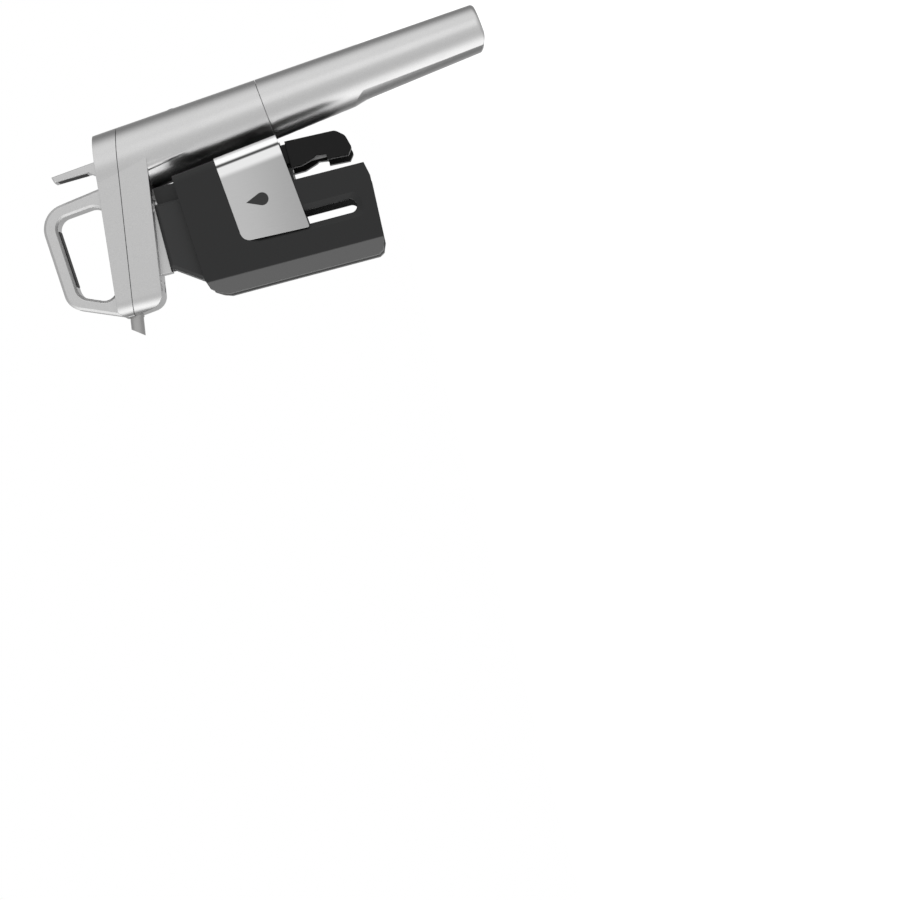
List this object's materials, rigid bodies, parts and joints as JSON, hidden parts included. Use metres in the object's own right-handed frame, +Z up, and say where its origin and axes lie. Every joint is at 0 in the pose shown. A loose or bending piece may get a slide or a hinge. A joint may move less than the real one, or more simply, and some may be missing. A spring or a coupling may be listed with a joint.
{
  "type": "needle wine pourer",
  "caption": "Hand-held needle wine pourer that clamps on a bottle neck, with loop handle, trigger, spout and a screw-on gas capsule cup.",
  "frame": {"origin": "middle of the bottle's lip, on the needle's axis", "axes": "+Z up along the needle and the bottle's neck with the bottle upright, +X towards the spout, +Y to the left side of the clamp"},
  "size_m": [0.1103, 0.045, 0.2216],
  "materials": {
    "satin_silver": "satin, bead blasted and clear coated",
    "badge_plate": "fine brushed, bent over the rear edge",
    "charcoal_shell": "fine satin grain",
    "charcoal_head": "fine satin grain",
    "black_lever": "smooth satin",
    "dark_rubber": "matt moulded rubber",
    "steel_parts": "drawn and polished",
    "rail_steel": "dark satin",
    "guide_plastic": "slippery moulded plastic",
    "valve_brass": "turned",
    "flow_plastic": "moulded"
  },
  "bodies": {
    "clamp_base": {"clamp_frame": "charcoal_head", "clamp_head": "charcoal_head", "head_screws": "steel_parts", "guide_liner": "guide_plastic", "needle_guide": "guide_plastic", "guide_wiper": "dark_rubber", "lip_gasket": "dark_rubber", "jaw_pins": "steel_parts", "jaw_springs": "steel_parts"},
    "handle_body": {"main_body": "satin_silver", "top_cover": "satin_silver", "loop_insert": "dark_rubber", "cover_screws": "steel_parts", "needle": "steel_parts", "needle_hub": "flow_plastic", "needle_seal": "dark_rubber", "flow_block": "flow_plastic", "gas_tube": "steel_parts", "pour_tube": "flow_plastic", "spout": "steel_parts", "spout_seal": "dark_rubber", "valve_block": "flow_plastic", "valve_seal": "dark_rubber", "valve_spring": "steel_parts", "feed_tube": "steel_parts", "trigger_pin": "steel_parts", "regulator_body": "valve_brass", "capsule_seal": "dark_rubber", "pierce_pin": "steel_parts", "regulator_piston": "valve_brass", "regulator_spring": "steel_parts", "regulator_cap": "valve_brass", "vent_plug": "guide_plastic", "guide_rail": "rail_steel", "rail_screws": "steel_parts"},
    "trigger": {"trigger_lever": "satin_silver", "trigger_grip": "dark_rubber"},
    "valve": {"valve_plunger": "valve_brass"},
    "capsule": {"gas_capsule": "steel_parts"},
    "cup": {"capsule_cup": "satin_silver", "cup_bumper": "dark_rubber"},
    "left_jaw": {"left_jaw_shell": "charcoal_shell", "left_grip_pad": "dark_rubber", "left_badge": "badge_plate", "left_lever": "black_lever", "left_lever_screws": "steel_parts"},
    "right_jaw": {"right_jaw_shell": "charcoal_shell", "right_grip_pad": "dark_rubber", "right_badge": "badge_plate", "right_lever": "black_lever", "right_lever_screws": "steel_parts"}
  },
  "joints": [
    {"name": "body_slide", "type": "slide", "parent": "clamp_base", "child": "handle_body", "axis": [0, 0, 1], "range_m": [0, 0.06]},
    {"name": "trigger_press", "type": "hinge", "parent": "handle_body", "child": "trigger", "pos_m": [-0.052, 0, 0.03598], "axis": [0, 1, 0], "range_deg": [0, 10], "stiffness_Nm_per_rad": 0.6, "springref_deg": -6.88},
    {"name": "valve_travel", "type": "slide", "parent": "handle_body", "child": "valve", "axis": [0.1533, 0, -0.9882], "range_m": [0, 0.0016], "deforming": ["valve_spring"]},
    {"name": "left_jaw_hinge", "type": "hinge", "parent": "clamp_base", "child": "left_jaw", "pos_m": [-0.024, 0.013, 0], "axis": [0, 0, 1], "range_deg": [0, 8], "stiffness_Nm_per_rad": 0.5, "springref_deg": -5.73},
    {"name": "right_jaw_hinge", "type": "hinge", "parent": "clamp_base", "child": "right_jaw", "pos_m": [-0.024, -0.013, 0], "axis": [0, 0, -1], "range_deg": [0, 8], "stiffness_Nm_per_rad": 0.5, "springref_deg": -5.73},
    {"name": "capsule_travel", "type": "slide", "parent": "handle_body", "child": "capsule", "axis": [-0.1045, 0, -0.9945], "range_m": [0, 0.0075]},
    {"name": "cup_spin", "type": "hinge", "parent": "capsule", "child": "cup", "pos_m": [-0.05825, 0, -0.0388], "axis": [-0.1045, 0, -0.9945], "range_deg": [0, 1080]}
  ],
  "couplings": [
    {"joint": "valve_travel", "follows": "trigger_press", "m_per_rad": 0.009},
    {"joint": "capsule_travel", "follows": "cup_spin", "m_per_rad": 0.00039789}
  ]
}
